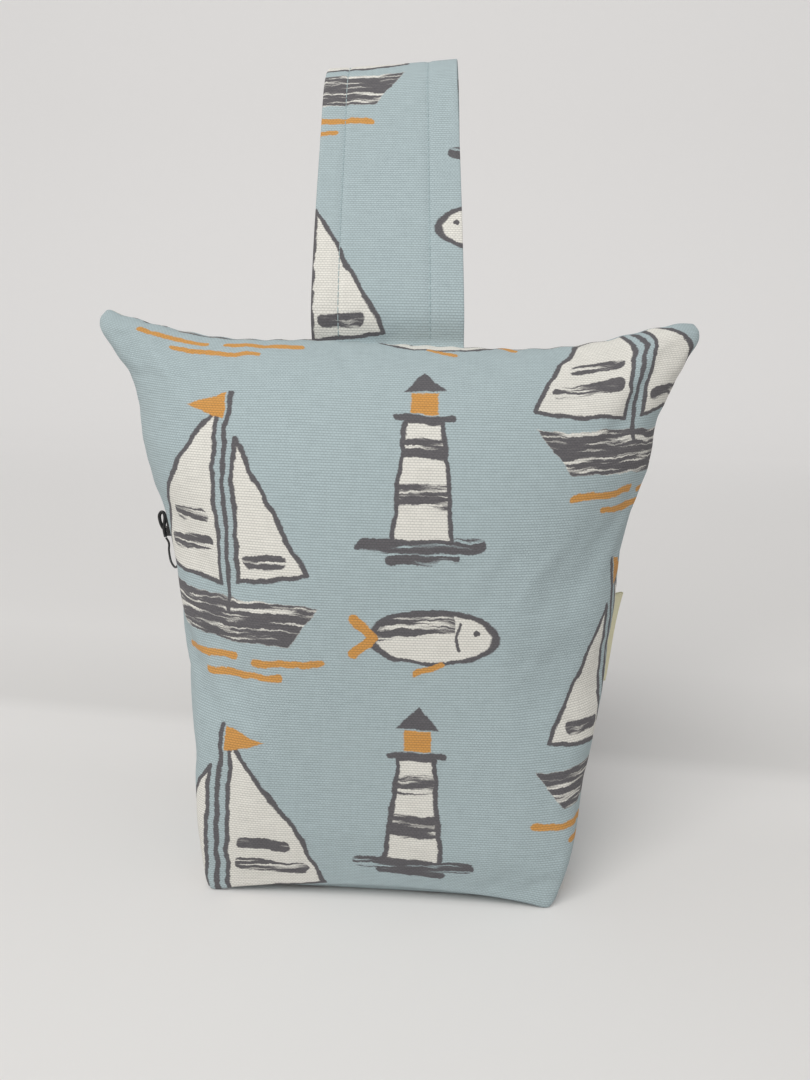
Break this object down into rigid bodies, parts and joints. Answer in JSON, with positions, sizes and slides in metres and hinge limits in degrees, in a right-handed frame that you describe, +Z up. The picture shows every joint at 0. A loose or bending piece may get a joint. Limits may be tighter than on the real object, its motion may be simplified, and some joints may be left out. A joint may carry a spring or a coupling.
{
  "type": "weighted fabric door stop",
  "caption": "Stuffed and weighted fabric bag with a boxed flat base, two pointed ears along its top seam and a wide carrying strap, set on the floor to hold a door open.",
  "frame": {"origin": "centre of the flat base, on the floor the door stop stands on", "axes": "+Z up, front with the visible panel towards -Y, label on the +X side seam, tag pin on the -X side seam"},
  "size_m": [0.2498, 0.1294, 0.3527],
  "materials": {
    "printed_cotton": "matt woven cotton, printed",
    "cream_ribbon": "fine woven ribbon, bare",
    "black_wire": "black, satin"
  },
  "bodies": {
    "root": {"stuffed_body": "printed_cotton", "handle_strap": "printed_cotton", "side_label": "cream_ribbon", "tag_pin_wire": "black_wire", "tag_pin_head": "black_wire"}
  },
  "joints": []
}
